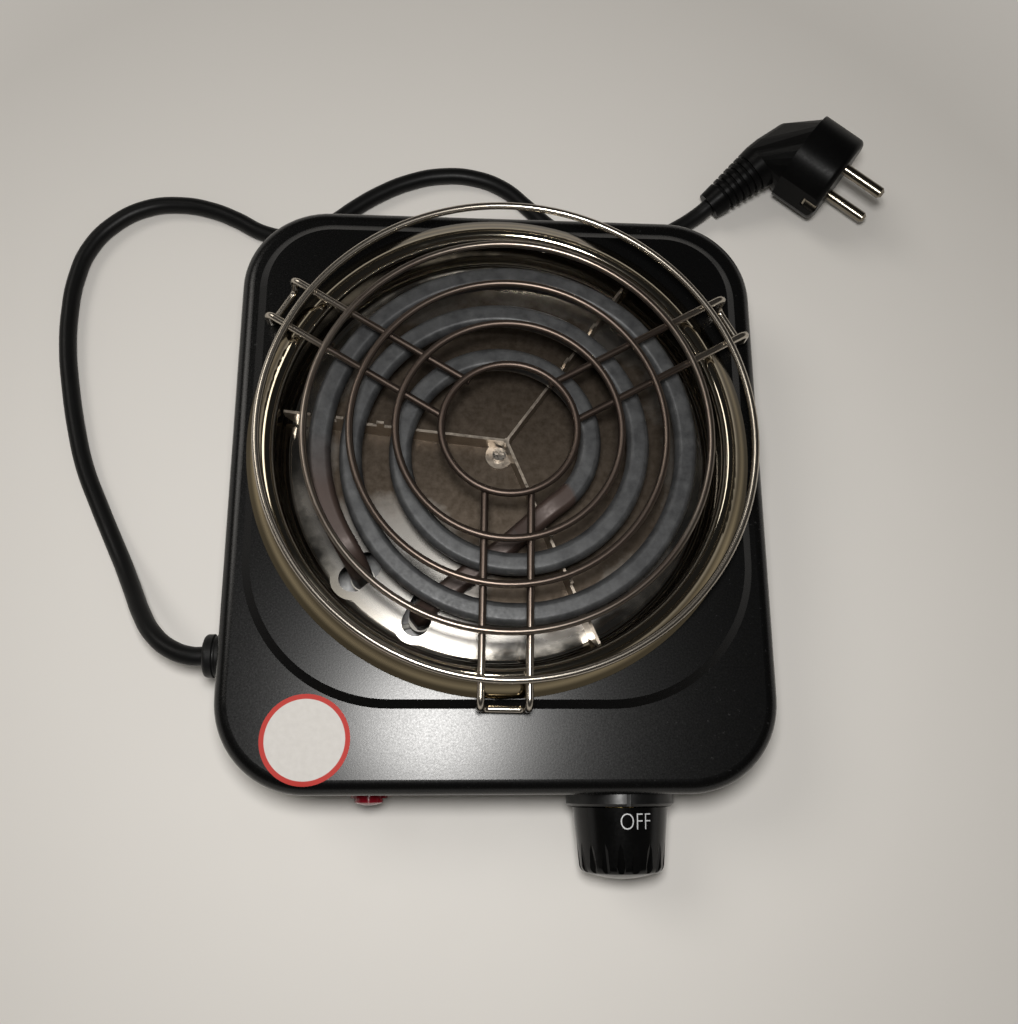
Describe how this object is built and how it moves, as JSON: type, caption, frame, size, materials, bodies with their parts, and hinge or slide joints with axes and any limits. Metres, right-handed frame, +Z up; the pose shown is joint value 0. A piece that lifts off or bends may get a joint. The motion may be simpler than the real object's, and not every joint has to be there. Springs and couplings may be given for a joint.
{
  "type": "electric hot plate",
  "caption": "Portable electric hot plate: black steel case, spiral tube element in a drip pan, lift-off wire pan grid, turning thermostat knob, indicator lamp and mains lead with plug.",
  "frame": {"origin": "on the table, below the middle of the outline from the back wall to the front of the knob, cord and plug left out", "axes": "+X to the user's right, +Y to the back, +Z up"},
  "size_m": [0.3419, 0.3105, 0.0648],
  "materials": {
    "housing_enamel": "semi-gloss black enamel",
    "plate_steel": "zinc-plated, dull",
    "fastener_steel": "plated, satin",
    "black_rubber": "matt",
    "cord_rubber": "satin",
    "pan_steel": "polished stainless, heat-tinted in the middle",
    "support_steel": "heat-tinted",
    "element_sheath": "oxidised blue-grey",
    "ceramic": "unglazed porcelain",
    "grid_wire": "plated wire, browned by heat towards the middle",
    "knob_plastic": "fine satin",
    "bezel_plastic": "fine satin",
    "terminal_brass": "plain",
    "red_lens": "translucent red",
    "lamp_glass": "clear",
    "wire_sleeve": "silicone sleeve",
    "plug_plastic": "satin",
    "pin_nickel": "nickel plate"
  },
  "bodies": {
    "base": {"top_housing": "housing_enamel", "base_plate": "plate_steel", "base_tabs": "plate_steel", "base_screws": "fastener_steel", "rubber_feet": "black_rubber", "drip_pan": "pan_steel", "pan_strap": "plate_steel", "pan_bolt": "fastener_steel", "pan_nut": "fastener_steel", "coil_support": "support_steel", "heating_coil": "element_sheath", "coil_seals": "ceramic", "coil_pins": "fastener_steel", "knob_bezel": "bezel_plastic", "thermostat_case": "ceramic", "thermostat_bush": "terminal_brass", "thermostat_nut": "fastener_steel", "thermostat_tabs": "terminal_brass", "indicator_lens": "red_lens", "indicator_lamp": "lamp_glass", "indicator_clip": "fastener_steel", "cord_gland": "black_rubber", "power_cord": "cord_rubber", "inner_sheath": "cord_rubber", "terminal_block": "ceramic", "terminal_screws": "terminal_brass", "inner_wires": "wire_sleeve", "earth_tag": "terminal_brass", "earth_screw": "fastener_steel", "plug_body": "plug_plastic", "plug_boot": "plug_plastic", "plug_pins": "pin_nickel", "plug_clips": "pin_nickel"},
    "knob": {"control_knob": "knob_plastic", "control_shaft": "fastener_steel"},
    "grid": {"grid_rings": "grid_wire", "grid_legs": "grid_wire"}
  },
  "joints": [
    {"name": "knob_turn", "type": "hinge", "parent": "base", "child": "knob", "pos_m": [0.0435, -0.09375, 0.024], "axis": [0, 1, 0], "range_deg": [0, 270]},
    {"name": "grid_lift", "type": "slide", "parent": "base", "child": "grid", "axis": [0, 0, 1], "range_m": [0, 0.06]}
  ]
}
